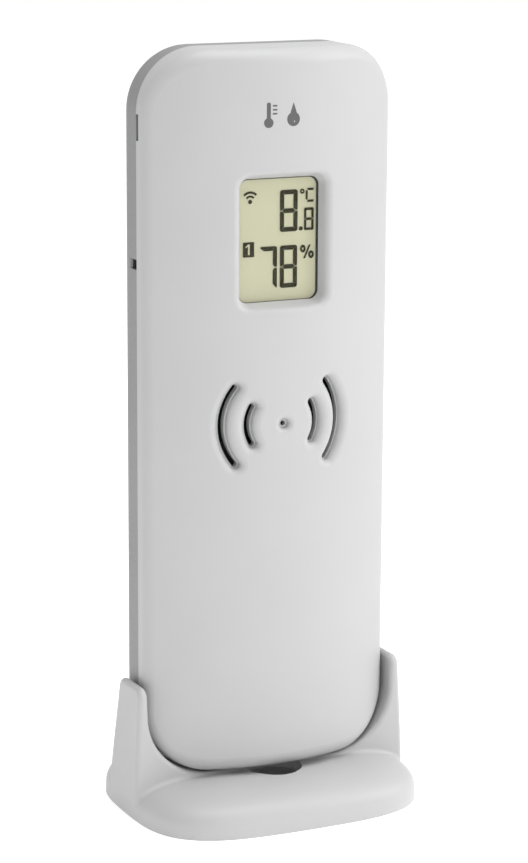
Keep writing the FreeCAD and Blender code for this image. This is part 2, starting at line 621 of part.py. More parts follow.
def make_board_screws():
    screws = []
    end = BOARD_BACK_Y - BOARD_SCREW_LENGTH
    for side in (-1, 1):
        screws.append(screw(side * BOARD_SCREW_X, BOARD_SCREW_Z, BOARD_BACK_Y, end,
                            BOARD_SCREW_HEAD_HEIGHT))
    return Part.makeCompound(screws)


def make_controller_chip():
    """A square chip with gull-wing legs on all four sides, on the back of the board."""
    x, z = CHIP_PLACE
    low, high = CHIP_Y
    body = box(x - CHIP_HALF, x + CHIP_HALF, BOARD_BACK_Y + low, BOARD_BACK_Y + high,
               z - CHIP_HALF, z + CHIP_HALF)
    legs = []
    reach = CHIP_HALF + LEG_REACH
    leg_top = BOARD_BACK_Y + LEG_HEIGHT
    pitch = 2 * (CHIP_HALF - LEG_INSET) / (LEG_COUNT - 1)
    for index in range(LEG_COUNT):
        offset = LEG_INSET - CHIP_HALF + index * pitch
        low = offset - LEG_HALF
        high = offset + LEG_HALF
        legs.append(box(x + low, x + high, BOARD_BACK_Y, leg_top, z - reach, z + reach))
        legs.append(box(x - reach, x + reach, BOARD_BACK_Y, leg_top, z + low, z + high))
    return body.fuse(legs).removeSplitter()


def make_radio_module():
    """A small board with a shielding can, soldered to the back of the main board."""
    card_top = BOARD_BACK_Y + RADIO_CARD_THICKNESS
    can_top = card_top + RADIO_CAN_HEIGHT
    (x0, x1), (z0, z1) = RADIO_CARD
    card = box(x0, x1, BOARD_BACK_Y, card_top, z0, z1)
    (x0, x1), (z0, z1) = RADIO_CAN
    can = box(x0, x1, card_top, can_top, z0, z1)
    can = can.makeFillet(CAN_ROUND, edges_in_plane_y(can, can_top))
    return card.fuse(can)


def coil(radius, pitch, height, wire, place):
    """A round wire wound upwards (+Z) from a place."""
    helix = Part.makeHelix(pitch, height, radius)
    start = Part.Wire(Part.Circle(Vector(radius, 0, 0), Vector(0, 1, 0), wire).toShape())
    winding = Part.Wire(helix.Edges).makePipeShell([start], True, True)
    winding.translate(place)
    return winding


def make_antenna_coil():
    x, z = ANTENNA_PLACE
    return coil(ANTENNA_RADIUS, ANTENNA_PITCH, ANTENNA_LENGTH, ANTENNA_WIRE,
                Vector(x, BOARD_BACK_Y + ANTENNA_HEIGHT, z))


def make_humidity_sensor():
    """A vented sensor on the front of the board, behind the right-hand grooves."""
    (x0, x1), (z0, z1) = VENTED_CASE
    front = BOARD_FRONT_Y - VENTED_CASE_HEIGHT
    case = box(x0, x1, front, BOARD_FRONT_Y, z0, z1)
    holes = []
    for row in range(VENT_ROWS):
        for column in range(VENT_COLUMNS):
            x = VENT_START[0] + VENT_STEP * column
            z = VENT_START[1] + VENT_STEP * row
            holes.append(rod_y(VENT_RADIUS, x, z, front - OVERRUN, front + VENT_DEPTH))
    return case.cut(holes)


def make_status_led():
    """A clear lamp behind the pin hole of the dimple."""
    base = rod_y(LED_BASE_RADIUS, 0, WAVE_Z, BOARD_FRONT_Y - LED_BASE_HEIGHT, BOARD_FRONT_Y)
    lamp = rod_y(LED_RADIUS, 0, WAVE_Z, BOARD_FRONT_Y - LED_HEIGHT, BOARD_FRONT_Y)
    lamp = lamp.makeFillet(LED_ROUND, edges_in_plane_y(lamp, BOARD_FRONT_Y - LED_HEIGHT))
    return base.fuse(lamp)


def make_board_capacitors():
    cans = []
    top = BOARD_BACK_Y + CAPACITOR_HEIGHT
    for x, z in CAPACITOR_PLACES:
        can = rod_y(CAPACITOR_RADIUS, x, z, BOARD_BACK_Y, top)
        cans.append(can.makeFillet(CAN_ROUND, edges_in_plane_y(can, top)))
    return Part.makeCompound(cans)


def make_battery_cell(side):
    """A round cell; the left one has its button end up, the right one has it down."""
    button_end = BAY_Z[1] if side < 0 else BAY_Z[0]
    up = 1 if side < 0 else -1
    nub_tip = button_end - up * (CONTACT_THICKNESS + CONTACT_GAP)
    shoulder = nub_tip - up * CELL_NUB_HEIGHT
    flat_end = nub_tip - up * CELL_LENGTH
    low, high = sorted((shoulder, flat_end))
    can = Part.makeCylinder(CELL_RADIUS, high - low, Vector(side * CELL_X, CELL_Y, low))
    can = can.makeFillet(CELL_ROUND, [edge for edge in can.Edges if edge.Closed])
    low, high = sorted((nub_tip, shoulder - up * CELL_ROUND))
    nub = Part.makeCylinder(CELL_NUB_RADIUS, high - low, Vector(side * CELL_X, CELL_Y, low))
    return can.fuse(nub)


def make_plate_contacts():
    """Flat contacts that meet the button ends of the cells."""
    plates = []
    for side in (-1, 1):
        x = side * CELL_X
        low = BAY_Z[1] - CONTACT_THICKNESS if side < 0 else BAY_Z[0]
        plates.append(box(x - CONTACT_HALF, x + CONTACT_HALF, CELL_Y - CONTACT_HALF, CELL_Y + CONTACT_HALF,
                          low, low + CONTACT_THICKNESS))
    return Part.makeCompound(plates)


def make_spring_contacts():
    """Coil springs that push on the flat ends of the cells."""
    springs = []
    flat_end = BAY_Z[1] - CONTACT_THICKNESS - CONTACT_GAP - CELL_LENGTH
    height = flat_end - BAY_Z[0] - 2 * (SPRING_WIRE + CONTACT_GAP)
    for side in (-1, 1):
        low = BAY_Z[0] if side < 0 else BAY_Z[1] - height - 2 * (SPRING_WIRE + CONTACT_GAP)
        place = Vector(side * CELL_X, CELL_Y, low + SPRING_WIRE + CONTACT_GAP)
        springs.append(coil(SPRING_RADIUS, height / SPRING_TURNS, height, SPRING_WIRE, place))
    return Part.makeCompound(springs)


def make_channel_switch_body():
    """Slide switch: a chamber for the slider's foot under a lid with a slot."""
    body = box(CHANNEL_X - SLIDE_BODY_HALF_X, CHANNEL_X + SLIDE_BODY_HALF_X, BOARD_BACK_Y, SWITCH_TOP_Y,
               CONTROL_Z - SLIDE_BODY_HALF_Z, CONTROL_Z + SLIDE_BODY_HALF_Z)
    chamber_x = SLIDER_FOOT[0] + SLIDE_TRAVEL + SLIDE_END_GAP
    slot_x = SLIDER_STEM[0] + SLIDE_TRAVEL + SLIDE_END_GAP
    slot_z = SLIDER_STEM[1] + SLIDE_SIDE_GAP
    chamber = box(CHANNEL_X - chamber_x, CHANNEL_X + chamber_x, SLIDE_CHAMBER_Y, SWITCH_TOP_Y - SWITCH_LID,
                  CONTROL_Z - SLIDE_CHAMBER_HALF_Z, CONTROL_Z + SLIDE_CHAMBER_HALF_Z)
    slot = box(CHANNEL_X - slot_x, CHANNEL_X + slot_x, 0, SWITCH_TOP_Y + OVERRUN,
               CONTROL_Z - slot_z, CONTROL_Z + slot_z)
    return body.cut([chamber, slot])


def make_channel_slider():
    def bar(middle, half_x, y0, y1, half_z):
        return box(middle - half_x, middle + half_x, y0, y1, CONTROL_Z - half_z, CONTROL_Z + half_z)

    foot_x, foot_y, foot_z = SLIDER_FOOT
    stem_x, stem_z = SLIDER_STEM
    knob_x, knob_z = SLIDER_KNOB
    knob_low, knob_high = SLIDER_KNOB_Y
    foot = bar(CHANNEL_X, foot_x, SLIDER_BOTTOM_Y, foot_y, foot_z)
    joined = [bar(CHANNEL_X, stem_x, SLIDER_BOTTOM_Y, knob_low + OVERLAP, stem_z)]
    joined.append(bar(CHANNEL_X, knob_x, knob_low, knob_high, knob_z))
    for step in SLIDER_RIDGE_STEPS:
        joined.append(bar(CHANNEL_X + step, SLIDER_RIDGE_HALF, knob_high - OVERLAP,
                          SLIDER_RIDGE_TOP_Y, knob_z))
    return foot.fuse(joined).removeSplitter()


def make_button_switch_body(x):
    """Push switch: a round chamber for the button's flange under a lid with a round hole."""
    body = box(x - SWITCH_HALF, x + SWITCH_HALF, BOARD_BACK_Y, SWITCH_TOP_Y,
               CONTROL_Z - SWITCH_HALF, CONTROL_Z + SWITCH_HALF)
    chamber = rod_y(BUTTON_RADIUS + BUTTON_FLANGE + BUTTON_CHAMBER_GAP, x, CONTROL_Z,
                    BUTTON_CHAMBER_Y, SWITCH_TOP_Y - SWITCH_LID)
    hole = rod_y(BUTTON_RADIUS + BUTTON_GAP, x, CONTROL_Z, 0, SWITCH_TOP_Y + OVERRUN)
    return body.cut([chamber, hole])


def make_button(x):
    flange = rod_y(BUTTON_RADIUS + BUTTON_FLANGE, x, CONTROL_Z, BUTTON_Y[0], BUTTON_Y[1])
    stem = rod_y(BUTTON_RADIUS, x, CONTROL_Z, BUTTON_Y[0], BUTTON_Y[2])
    stem = stem.makeFillet(BUTTON_ROUND, edges_in_plane_y(stem, BUTTON_Y[2]))
    return flange.fuse(stem)


def foot_outline(half_x, half_y, z):
    """A closed superellipse in a horizontal plane."""
    points = []
    power = 2.0 / FOOT_OUTLINE_POWER
    for index in range(FOOT_OUTLINE_POINTS):
        turn = 2 * math.pi * (index + 0.5) / FOOT_OUTLINE_POINTS
        across = math.cos(turn)
        along = math.sin(turn)
        x = half_x * math.copysign(abs(across) ** power, across)
        y = half_y * math.copysign(abs(along) ** power, along)
        points.append(Vector(x, FOOT_MID_Y + y, z))
    curve = Part.BSplineCurve()
    curve.interpolate(Points=points, PeriodicFlag=True)
    return Part.Wire(curve.toShape())


def dome(half_x, half_y, height):
    """Horizontal superellipses that shrink towards the top."""
    sections = []
    for level in FOOT_LEVELS:
        scale = (1 - level ** FOOT_PROFILE_POWER) ** (1 / FOOT_PROFILE_POWER)
        sections.append(foot_outline(half_x * scale, half_y * scale, height * level))
    return Part.makeLoft(sections, True)


def arm_block():
    """The two arms and the bar between them, before the cut-out for the case."""
    side = Part.BSplineCurve()
    side.interpolate([Vector(x, 0, z) for x, z in ARM_OUTER_SIDE])
    right = side.toShape()
    left = right.mirror(Vector(0, 0, 0), Vector(1, 0, 0))
    top_x, top_z = ARM_OUTER_SIDE[0]
    foot_x, foot_z = ARM_OUTER_SIDE[-1]
    top = Part.makeLine(Vector(-top_x, 0, top_z), Vector(top_x, 0, top_z))
    bottom = Part.makeLine(Vector(-foot_x, 0, foot_z), Vector(foot_x, 0, foot_z))
    outline = Part.Wire(Part.__sortEdges__([right, top, left, bottom]))
    across = Part.Face(outline).extrude(Vector(0, 2 * FAR, 0))
    across.translate(Vector(0, -FAR, 0))

    corners = [Vector(-FAR, ARM_FRONT_Y[0], foot_z), Vector(-FAR, ARM_FRONT_Y[1], top_z),
               Vector(-FAR, ARM_BACK_Y[1], top_z), Vector(-FAR, ARM_BACK_Y[0], foot_z)]
    profile = Part.Face(Part.makePolygon(corners + [corners[0]])).extrude(Vector(2 * FAR, 0, 0))
    upper = [edge for edge in profile.Edges
             if abs(edge.BoundBox.ZMin - top_z) < TOLERANCE and edge.BoundBox.XLength > FAR]
    profile = profile.makeFillet(ARM_TOP_ROUND, upper)
    block = across.common(profile)
    outer = []
    for face in block.Faces:
        span = face.BoundBox
        if span.XLength > CASE_HALF_X or span.ZLength < ARM_TOP_Z / 2:
            continue
        for edge in face.Edges:
            if edge.BoundBox.ZMax > foot_z + TOLERANCE:
                outer.append(edge)
    return block.makeFillet(ARM_EDGE_ROUND, outer)


def case_passage():
    """The room for the case between the arms, open at the top."""
    corner = CASE_CORNER + CRADLE_GAP
    low = CASE_BOTTOM_Z - CRADLE_GAP
    centre_x = CASE_HALF_X - CASE_CORNER
    centre_z = CASE_BOTTOM_Z + CASE_CORNER
    wall_x = centre_x + corner
    slant = math.sqrt(0.5) * corner
    top = ARM_TOP_Z + OVERRUN
    right_arc = Part.Arc(Vector(centre_x, -FAR, low), Vector(centre_x + slant, -FAR, centre_z - slant),
                         Vector(wall_x, -FAR, centre_z)).toShape()
    left_arc = right_arc.mirror(Vector(0, 0, 0), Vector(1, 0, 0))
    mouth = CRADLE_MOUTH_HALF_X
    edges = [right_arc, left_arc,
             Part.makeLine(Vector(-centre_x, -FAR, low), Vector(centre_x, -FAR, low)),
             Part.makeLine(Vector(wall_x, -FAR, centre_z), Vector(mouth, -FAR, top)),
             Part.makeLine(Vector(-wall_x, -FAR, centre_z), Vector(-mouth, -FAR, top)),
             Part.makeLine(Vector(-mouth, -FAR, top), Vector(mouth, -FAR, top))]
    return Part.Face(Part.Wire(Part.__sortEdges__(edges))).extrude(Vector(0, 2 * FAR, 0))


def creases(shape):
    """The edges where the bar of the arms leaves the dome."""
    found = []
    for edge in shape.Edges:
        span = edge.BoundBox
        low_enough = span.ZMin > FOOT_HEIGHT / 4 and span.ZMax < FOOT_HEIGHT + 0.3
        on_top = max(abs(span.XMin), abs(span.XMax)) < FOOT_HALF_X / 3 and span.YLength > FOOT_HALF_Y / 6
        if low_enough and edge.Length > 0.5 and not on_top:
            found.append(edge)
    return found


def cut_out_edges(shape):
    """The upright edges of the arms that face the case, front and back."""
    found = []
    for edge in shape.Edges:
        span = edge.BoundBox
        reach = min(abs(span.XMin), abs(span.XMax))
        if span.ZMin > CASE_BOTTOM_Z and span.ZLength > 2 and span.YLength < span.ZLength:
            if CASE_HALF_X < reach < CRADLE_MOUTH_HALF_X:
                found.append(edge)
    return found


def make_stand():
    stand = dome(FOOT_HALF_X, FOOT_HALF_Y, FOOT_HEIGHT).fuse(arm_block())
    stand = stand.makeFillet(CREASE_ROUND, creases(stand))
    stand = stand.cut(case_passage())
    stand = stand.makeFillet(ARM_INNER_ROUND, cut_out_edges(stand))
    hollow = dome(FOOT_HALF_X - FOOT_WALL, FOOT_HALF_Y - FOOT_WALL, FOOT_HEIGHT - FOOT_WALL)
    stand = stand.cut(hollow)
    ribs = []
    for y in RIB_PLACES:
        ribs.append(box(-RIB_HALF_X, RIB_HALF_X, y, y + RIB_WIDTH,
                        FOOT_HEIGHT - FOOT_WALL / 2, CASE_BOTTOM_Z - LIFT_GAP))
    stand = stand.fuse(ribs)
    hole = Part.makeCylinder(STAND_HOLE_RADIUS, 2 * FOOT_HEIGHT, Vector(0, STAND_HOLE_Y, 0))
    return stand.cut(hole)


def match(shape, wanted):
    """The edge of a shape that runs through the middle of an edge seen earlier."""
    first, last = wanted.ParameterRange
    point = Part.Vertex(wanted.valueAt((first + last) / 2))
    return min(shape.Edges, key=lambda edge: edge.distToShape(point)[0])


def build():
    pieces = {
        "stand": make_stand(),
        "front_cover": make_front_cover(),
        "back_cover": make_back_cover(),
        "battery_door": make_battery_door(),
        "display_lens": make_display_lens(),
        "lcd_panel": make_lcd_panel(),
        "lcd_reflector": make_lcd_reflector(),
        "lcd_frame": make_lcd_frame(),
        "contact_strips": make_contact_strips(),
        "circuit_board": make_circuit_board(),
        "controller_chip": make_controller_chip(),
        "radio_module": make_radio_module(),
        "antenna_coil": make_antenna_coil(),
        "humidity_sensor": make_humidity_sensor(),
        "status_led": make_status_led(),
        "board_capacitors": make_board_capacitors(),
        "battery_cell_left": make_battery_cell(-1),
        "battery_cell_right": make_battery_cell(1),
        "plate_contacts": make_plate_contacts(),
        "spring_contacts": make_spring_contacts(),
        "channel_switch_body": make_channel_switch_body(),
        "channel_slider": make_channel_slider(),
        "unit_switch_body": make_button_switch_body(UNIT_X),
        "unit_button": make_button(UNIT_X),
        "reset_switch_body": make_button_switch_body(RESET_X),
        "reset_button": make_button(RESET_X),
        "case_screws": make_case_screws(),
        "board_screws": make_board_screws(),
    }
    return pieces


os.makedirs("parts", exist_ok=True)
for node, shape in build().items():
    shape.exportStep("parts/" + node + ".step")
    span = shape.BoundBox
    print(node, shape.isValid(), len(shape.Solids), round(shape.Volume, 1),
          [round(value, 2) for value in (span.XMin, span.XMax, span.YMin, span.YMax, span.ZMin, span.ZMax)])
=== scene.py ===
"""Looks of a temperature and humidity sensor in its table stand. Metres, in the frame of the CAD part."""
import json
import math

import bmesh
import bpy
from mathutils import Matrix, Vector


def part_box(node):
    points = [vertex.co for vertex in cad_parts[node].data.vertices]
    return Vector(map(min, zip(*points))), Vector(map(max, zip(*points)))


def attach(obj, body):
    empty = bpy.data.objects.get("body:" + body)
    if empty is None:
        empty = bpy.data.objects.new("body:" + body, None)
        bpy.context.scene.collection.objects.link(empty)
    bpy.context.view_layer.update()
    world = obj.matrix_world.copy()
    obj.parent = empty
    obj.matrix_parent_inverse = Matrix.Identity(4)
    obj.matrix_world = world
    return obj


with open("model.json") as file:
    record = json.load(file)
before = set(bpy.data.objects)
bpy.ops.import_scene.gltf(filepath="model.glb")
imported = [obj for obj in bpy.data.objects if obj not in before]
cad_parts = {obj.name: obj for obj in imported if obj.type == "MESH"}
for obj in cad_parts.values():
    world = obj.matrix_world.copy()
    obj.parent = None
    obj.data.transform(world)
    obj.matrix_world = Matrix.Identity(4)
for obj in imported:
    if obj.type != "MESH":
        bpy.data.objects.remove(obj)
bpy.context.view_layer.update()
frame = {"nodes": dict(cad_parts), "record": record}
scene = bpy.context.scene

MM = 0.001

# ---- camera ----
CAMERA_PLACE = Vector((-233.073, -493.918, 196.336)) * MM
CAMERA_RIGHT = Vector((0.90471, -0.42599, 0.00521))
CAMERA_UP = Vector((0.08813, 0.19912, 0.97600))
CAMERA_BACK = Vector((-0.41681, -0.88254, 0.21769))
SENSOR_WIDTH = 36.0
LENS = 119.19

# ---- studio ----
FLOOR_SIZE = 8.0
FLOOR_Z = -0.00005
FLOOR_GLOW = 0.35
GLOW_EDGE = (0.75, 1.0)             # where the glow begins and is full, in half sizes of the foot
SKY = (0.52, 0.86)                  # strength of the studio sky on the left and on the right
# name, place, target, width, height, power
LIGHTS = (
    ("key", (0.75, -0.45, 0.55), (0, 0, 0.07), 0.6, 0.6, 4.2),
    ("top", (0.05, -0.1, 0.95), (0, 0, 0.05), 0.7, 0.7, 4.8),
    ("front", (-0.15, -0.95, 0.30), (0, 0, 0.05), 0.5, 0.4, 0.5),
)

# ---- materials ----
NOISE_SPAN = (0.3, 0.7)             # the stretch of a noise value that is put to use
CLOUD_SCALE = 60.0
CLOUD_DETAIL = 3.0
GRAIN_DETAIL = 5.0
GRAIN_HEIGHT = 0.00002
CLEAR_GRAIN = 900.0
CLEAR_DETAIL = 4.0
CLEAR_SPREAD = (0.7, 1.3)
PLAIN_GLOSS = 0.5
MATT_GLOSS = 0.2
FILM_PAINTED_LIGHT = 0.26                    # painted light: a glow on the film that evens out the shade of the window's deep rim; no lamp lights the display
FILM_PAINTED_LIGHT_COLOUR = (0.66, 0.64, 0.46, 1)

# ---- display, in mm: x and z count from the middle of the panel, y is the frame's ----
GLYPH_Y = -5.75                     # just inside the front glass
GLYPH_DEPTH = 0.03
FILM_Y = -5.60
FILM_DEPTH = 0.1
FILM_INSET_X = 0.3
FILM_INSET_Z = 0.15
RADIO_PLACE = (-5.68, 7.413)
RADIO_DOT = 0.42
RADIO_WAVES = ((1.03, 0.38, 42), (1.80, 0.44, 44))        # radius, stroke, start angle
SEVEN = "abc"                       # segments that are on
EIGHT = "abcdefg"
LARGE_STROKE = 0.88
LARGE_GAP = 0.12
SMALL_STROKE = 0.50
SMALL_GAP = 0.07
DEGREES_DIGIT = (0.61, 4.35, 1.283, 9.333)                # x from, x to, z from, z to
TENTHS_DIGIT = (5.73, 7.78, 1.333, 5.683)
HUMIDITY_TENS = (-3.67, 0.05, -9.567, -1.367)
HUMIDITY_ONES = (0.66, 4.32, -9.567, -1.367)
POINT_PLACE = (5.05, 1.733)
POINT_RADIUS = 0.42
NICK = 0.28                         # cut corner of a segment, in strokes
SHORT_NICK = 0.6                    # the smaller cut at the outer ends of the upright segments, in nicks
MIDDLE_TIP = 0.7                    # how far the tips of the middle segment stand back, in gaps
MIDDLE_SHOULDER = 0.4
RING_PLACE = (5.32, 8.883)
RING_RADIUS = 0.33
RING_STROKE = 0.32
LETTER_C_X = (6.05, 7.71)
LETTER_C_Z = (6.763, 7.203, 9.033, 9.453)                 # low stroke from and to, high stroke from and to
LETTER_C_STEM = 0.42
LETTER_C_INSET = (0.26, 0.46)       # outer and inner corner of the two level strokes, from the left
LETTER_C_GAP = 0.03
CHANNEL_BOX = (-7.15, -4.80, -3.187, -0.317)
ONE_X = (-6.57, -6.09, -5.75)       # tip of the flag, left and right side of the stem
ONE_Z = (-2.767, -1.417, -1.137, -1.067, -0.717)          # foot, flag tip from and to, notch, head
PERCENT_RINGS = ((5.53, -2.217), (7.28, -3.417))
PERCENT_RADIUS = 0.40
PERCENT_STROKE = 0.42
PERCENT_STRETCH = 1.25
PERCENT_BAR_X = (5.61, 6.78)
PERCENT_BAR_Z = (-4.117, -1.517)
PERCENT_BAR_WIDTH = 0.42

# ---- painted shade: a dark line printed round the display on the back of the lens, set to stand in for the shadow in the gap between the film and the window rim; from the middle of the panel ----
EDGE_SHADE_PRINT_Y = -5.835
EDGE_SHADE_PRINT_INNER = (-8.05, 8.20, -11.90, 11.62)           # x from, x to, z from, z to
EDGE_SHADE_PRINT_OUTER = (-9.2, 9.2, -12.4, 12.4)
EDGE_SHADE_PRINT_CORNER = 1.7

# ---- painted shade: dark sheets in the air slots, in mm in the frame ----
SLOT_SHADE_X = (24.35, 25.9)             # on the right; mirrored on the left
SLOT_SHADE_Y = 3.6
SLOT_SHADE_Z = (107.95, 109.85)
SLOT_SHADE_DEPTH = 0.05

# ---- print: the front face is a slice of an upright cylinder; sizes from PRINT_X and PRINT_Z ----
FACE_FRONT_Y = -10.0
FACE_RADIUS = 46.0
INK_HEIGHT = 0.012
PRINT_X = -0.9
PRINT_Z = 137.5
TUBE_X = -2.9
TUBE_Z = (-0.5, 2.1)
TUBE_RADIUS = 0.4
BULB_Z = -1.35
BULB_RADIUS = 0.95
TICK_X = (-2.1, -1.2)
TICK_Z = (0.2, 0.95, 1.7)
TICK_HEIGHT = 0.3
DROP_PLACE = (2.2, -0.8)
DROP_RADIUS = 1.35
DROP_HEIGHT = 3.2
DROP_SWEEP = 300                    # degrees of the round part


# ---------------------------------------------------------------- materials
def grey(level):
    return (level, level, level)


def new_material(name):
    material = bpy.data.materials.new(name)
    material.use_nodes = True
    tree = material.node_tree
    return material, tree, tree.nodes["Principled BSDF"]


def object_noise(tree, scale, detail):
    """Noise fixed to the object, in the object's own coordinates."""
    place = tree.nodes.new("ShaderNodeTexCoord")
    noise = tree.nodes.new("ShaderNodeTexNoise")
    noise.inputs["Scale"].default_value = scale
    noise.inputs["Detail"].default_value = detail
    tree.links.new(place.outputs["Object"], noise.inputs["Vector"])
    return noise


def span(tree, source, came_from, goes_to):
    """Maps a value from one range onto another."""
    node = tree.nodes.new("ShaderNodeMapRange")
    node.inputs["From Min"].default_value = came_from[0]
    node.inputs["From Max"].default_value = came_from[1]
    node.inputs["To Min"].default_value = goes_to[0]
    node.inputs["To Max"].default_value = goes_to[1]
    tree.links.new(source, node.inputs["Value"])
    return node.outputs["Result"]


def tone(tree, noise, first, second):
    """Blends two colours with a noise."""
    mix = tree.nodes.new("ShaderNodeValToRGB")
    for element, position, colour in zip(mix.color_ramp.elements, NOISE_SPAN, (first, second)):
        element.position = position
        element.color = (*colour, 1)
    tree.links.new(noise.outputs["Fac"], mix.inputs["Fac"])
    return mix.outputs["Color"]


def add_bump(tree, shader, noise, strength):
    bump = tree.nodes.new("ShaderNodeBump")
    bump.inputs["Strength"].default_value = strength
    bump.inputs["Distance"].default_value = GRAIN_HEIGHT
    tree.links.new(noise.outputs["Fac"], bump.inputs["Height"])
    tree.links.new(bump.outputs["Normal"], shader.inputs["Normal"])


def surface(name, first, second, roughness, grain, bump, metal=0.0, gloss=PLAIN_GLOSS):
    """A solid surface: slow colour clouds, roughness variation and a fine grain."""
    material, tree, shader = new_material(name)
    slow = object_noise(tree, CLOUD_SCALE, CLOUD_DETAIL)
    fine = object_noise(tree, grain, GRAIN_DETAIL)
    tree.links.new(tone(tree, slow, first, second), shader.inputs["Base Color"])
    tree.links.new(span(tree, fine.outputs["Fac"], NOISE_SPAN, roughness), shader.inputs["Roughness"])
    shader.inputs["Metallic"].default_value = metal
    shader.inputs["Specular IOR Level"].default_value = gloss
    add_bump(tree, shader, fine, bump)
    return material


def clear_sheet(name, tint, index, roughness):
    """Thin clear plastic: lets light straight through and adds a surface reflection."""
    material, tree, shader = new_material(name)
    tree.nodes.remove(shader)
    through = tree.nodes.new("ShaderNodeBsdfTransparent")
    through.inputs["Color"].default_value = (*tint, 1)
    shine = tree.nodes.new("ShaderNodeBsdfGlossy")
    noise = object_noise(tree, CLEAR_GRAIN, CLEAR_DETAIL)
    spread = [roughness * share for share in CLEAR_SPREAD]
    tree.links.new(span(tree, noise.outputs["Fac"], NOISE_SPAN, spread), shine.inputs["Roughness"])
    edge = tree.nodes.new("ShaderNodeFresnel")
    edge.inputs["IOR"].default_value = index
    mix = tree.nodes.new("ShaderNodeMixShader")
    tree.links.new(edge.outputs["Fac"], mix.inputs["Fac"])
    tree.links.new(through.outputs["BSDF"], mix.inputs[1])
    tree.links.new(shine.outputs["BSDF"], mix.inputs[2])
    tree.links.new(mix.outputs["Shader"], tree.nodes["Material Output"].inputs["Surface"])
    return material


# name, the two colours, roughness range, grain scale, bump strength, metallic
SURFACES = (
    ("white_plastic", grey(0.452), grey(0.466), (0.40, 0.50), 2600.0, 0.06, 0.0),
    ("grey_plastic", (0.230, 0.230, 0.234), (0.248, 0.248, 0.252), (0.42, 0.56), 2600.0, 0.10, 0.0),
    ("reflector_foil", (0.60, 0.61, 0.50), (0.64, 0.65, 0.54), (0.3, 0.45), 3000.0, 0.05, 0.6),
    ("black_rubber", grey(0.018), grey(0.028), (0.6, 0.8), 2500.0, 0.15, 0.0),
    ("board_laminate", (0.012, 0.036, 0.020), (0.018, 0.050, 0.028), (0.25, 0.45), 1800.0, 0.10, 0.0),
    ("black_plastic", (0.018, 0.018, 0.020), (0.030, 0.030, 0.032), (0.35, 0.55), 2500.0, 0.12, 0.0),
    ("tinned_metal", (0.52, 0.52, 0.50), (0.62, 0.62, 0.60), (0.22, 0.38), 1500.0, 0.08, 1.0),
    ("copper_wire", (0.50, 0.22, 0.10), (0.62, 0.30, 0.14), (0.2, 0.35), 1500.0, 0.05, 1.0),
    ("lamp_plastic", (0.20, 0.02, 0.02), (0.26, 0.03, 0.03), (0.10, 0.2), 1500.0, 0.03, 0.0),
    ("capacitor_sleeve", (0.02, 0.025, 0.09), (0.03, 0.035, 0.12), (0.25, 0.4), 1500.0, 0.05, 0.0),
    ("cell_sleeve", (0.05, 0.16, 0.30), (0.06, 0.19, 0.34), (0.22, 0.34), 1500.0, 0.05, 0.0),
    ("button_plastic", (0.50, 0.50, 0.49), (0.56, 0.56, 0.55), (0.4, 0.55), 2500.0, 0.08, 0.0),
    ("screw_steel", (0.26, 0.26, 0.27), (0.36, 0.36, 0.37), (0.25, 0.42), 1200.0, 0.08, 1.0),
)
LOOKS = {row[0]: surface(*row) for row in SURFACES}
LOOKS["clear_plastic"] = clear_sheet("clear_plastic", (0.985, 0.99, 0.97), 1.15, 0.05)
LOOKS["lcd_glass"] = clear_sheet("lcd_glass", (0.98, 0.985, 0.965), 1.05, 0.08)

# the film's own pale colour; draw_film adds painted light to this material as a glow
LCD_FILM_WITH_PAINTED_LIGHT = surface("lcd_film_with_painted_light", (0.490, 0.470, 0.375), (0.505, 0.485, 0.390), (0.55, 0.65), 3500.0, 0.04)
LCD_INK = surface("lcd_ink", (0.034, 0.031, 0.016), (0.038, 0.035, 0.018), (0.5, 0.6), 3500.0, 0.03,
                  gloss=MATT_GLOSS)
# ink for the print on the front face, also used for the lens border that paints the shadow round the
# display
PRINT_AND_SHADE_INK = surface("print_and_shade_ink", (0.085, 0.085, 0.088), (0.10, 0.10, 0.104), (0.5, 0.6), 3500.0, 0.05)
# painted shade: near-black sheets that darken the inside of the side air slots
SLOT_SHADE_LOOK = surface("painted_slot_shade", grey(0.045), grey(0.060), (0.5, 0.7), 3500.0, 0.05, gloss=MATT_GLOSS)
FLOOR_LOOK = surface("floor_paper", grey(0.93), grey(0.95), (0.8, 0.9), 300.0, 0.03, gloss=0.0)


def glow(material, colour, strength):
    """Gives a material an even glow."""
    shader = material.node_tree.nodes["Principled BSDF"]
    shader.inputs["Emission Color"].default_value = colour
    shader.inputs["Emission Strength"].default_value = strength


def glow_round_the_foot():
    """The floor glows everywhere but under the foot, where it stays dark."""
    tree = FLOOR_LOOK.node_tree
    glow(FLOOR_LOOK, (1, 1, 1, 1), 0.0)
    low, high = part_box("stand")
    place = tree.nodes.new("ShaderNodeTexCoord")
    mapping = tree.nodes.new("ShaderNodeMapping")
    mapping.inputs["Scale"].default_value = (2 / (high.x - low.x), 2 / (high.y - low.y), 0)
    reach = tree.nodes.new("ShaderNodeVectorMath")
    reach.operation = "LENGTH"
    tree.links.new(place.outputs["Object"], mapping.inputs["Vector"])
    tree.links.new(mapping.outputs["Vector"], reach.inputs[0])
    strength = span(tree, reach.outputs["Value"], GLOW_EDGE, (0.0, FLOOR_GLOW))
    shader = tree.nodes["Principled BSDF"]
    tree.links.new(strength, shader.inputs["Emission Strength"])


def dress_the_cad_pieces():
    slot_of = {part["node"]: part["material_slot"] for part in frame["record"]["subparts"]}
    for name, piece in frame["nodes"].items():
        piece.data.materials.clear()
        piece.data.materials.append(LOOKS[slot_of[name]])


